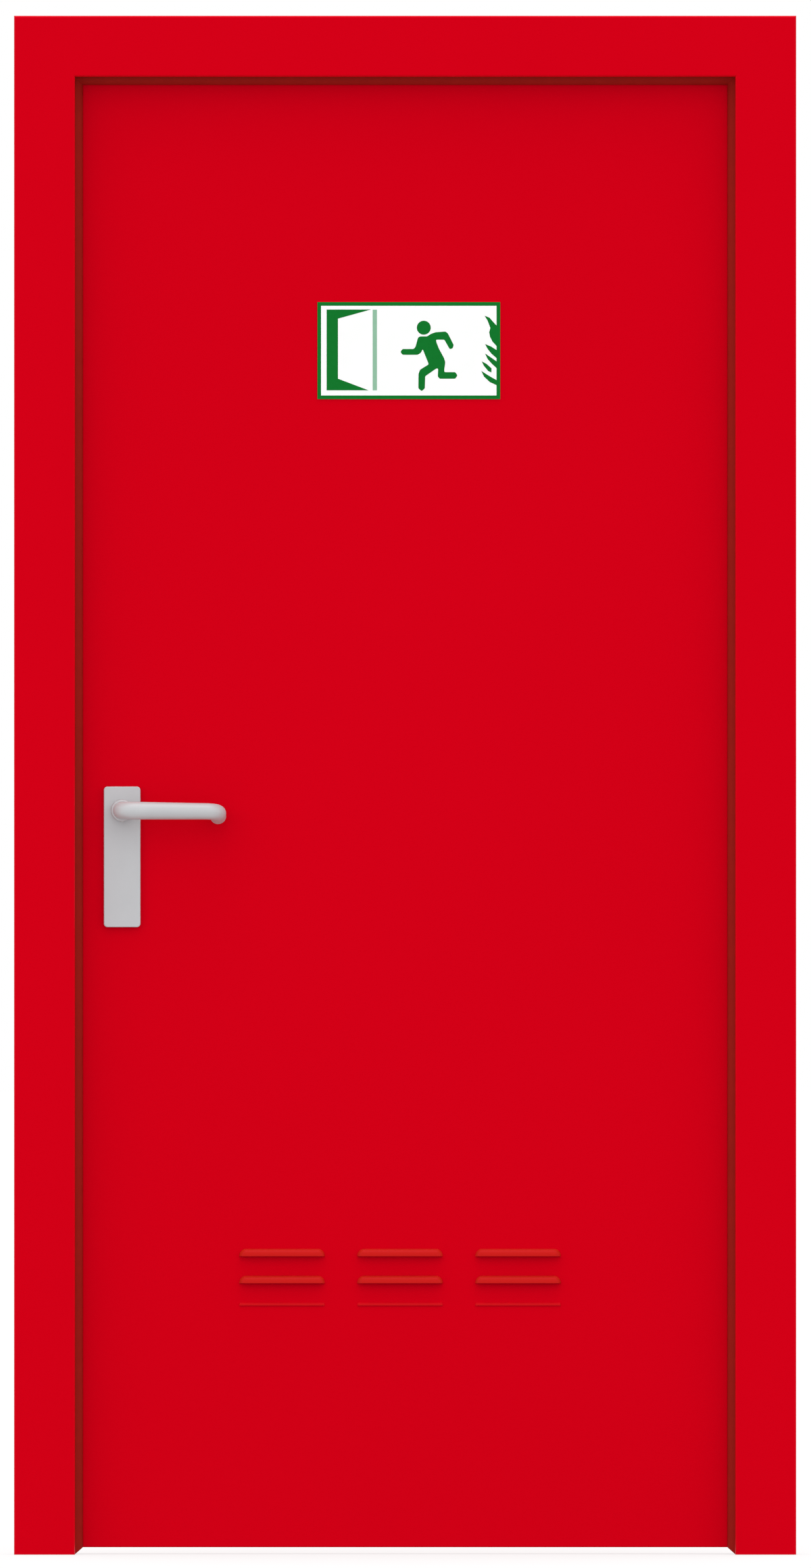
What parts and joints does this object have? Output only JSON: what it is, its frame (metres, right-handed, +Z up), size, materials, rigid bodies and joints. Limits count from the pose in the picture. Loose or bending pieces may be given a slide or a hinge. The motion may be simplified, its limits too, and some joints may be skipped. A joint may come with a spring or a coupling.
{
  "type": "steel utility door",
  "caption": "Ventilated steel utility door with lever handles and an exit sign, hung in a pressed block frame; it closes a service room or an escape way.",
  "frame": {"origin": "at floor level, on the foot of the hinge jamb, where its reveal meets the frame's front face", "axes": "+X along the wall from the lock side to the hinge side, +Y from the push side to the pull side, +Z up"},
  "size_m": [1.066, 0.1862, 2.098],
  "materials": {
    "red_paint": "satin",
    "brown_seal": "matte",
    "black_seal": "matte",
    "zinc_steel": "satin",
    "lock_steel": "satin",
    "washer_brass": "satin",
    "cylinder_brass": "satin",
    "core_honeycomb": "matte",
    "sign_panel": "satin",
    "handle_metal": "satin"
  },
  "bodies": {
    "frame": {"hinge_jamb": "red_paint", "lock_jamb": "red_paint", "frame_head": "red_paint", "hinge_jamb_lip_seal": "brown_seal", "lock_jamb_lip_seal": "brown_seal", "head_lip_seal": "brown_seal", "hinge_jamb_bulb_seal": "black_seal", "lock_jamb_bulb_seal": "black_seal", "head_bulb_seal": "black_seal", "hinge_jamb_anchors": "zinc_steel", "lock_jamb_anchors": "zinc_steel", "head_anchors": "zinc_steel", "strike_plate": "lock_steel", "strike_box": "zinc_steel", "hinge_backing_plates": "zinc_steel", "lower_frame_hinge": "red_paint", "upper_frame_hinge": "red_paint", "lower_hinge_pin": "lock_steel", "upper_hinge_pin": "lock_steel", "lower_hinge_washer": "washer_brass", "upper_hinge_washer": "washer_brass"},
    "leaf": {"leaf_front_skin": "red_paint", "leaf_back_skin": "red_paint", "leaf_core": "core_honeycomb", "vent_sleeve": "zinc_steel", "exit_sign": "sign_panel", "mortise_lock": "lock_steel", "latch_bolt": "lock_steel", "dead_bolt": "lock_steel", "lock_cylinder": "cylinder_brass", "front_handle_plate": "handle_metal", "back_handle_plate": "handle_metal", "lower_leaf_hinge": "red_paint", "upper_leaf_hinge": "red_paint"},
    "lever_set": {"front_lever": "handle_metal", "back_lever": "handle_metal", "spindle": "lock_steel"}
  },
  "joints": [
    {"name": "leaf_swing", "type": "hinge", "parent": "frame", "child": "leaf", "pos_m": [0.037, 0.087, 0.25], "axis": [0, 0, -1], "range_deg": [0, 170]},
    {"name": "lever_turn", "type": "hinge", "parent": "leaf", "child": "lever_set", "pos_m": [-0.836, 0.04, 1.0145], "axis": [0, 1, 0], "range_deg": [0, 40], "stiffness_Nm_per_rad": 2, "springref_deg": -28.65}
  ]
}
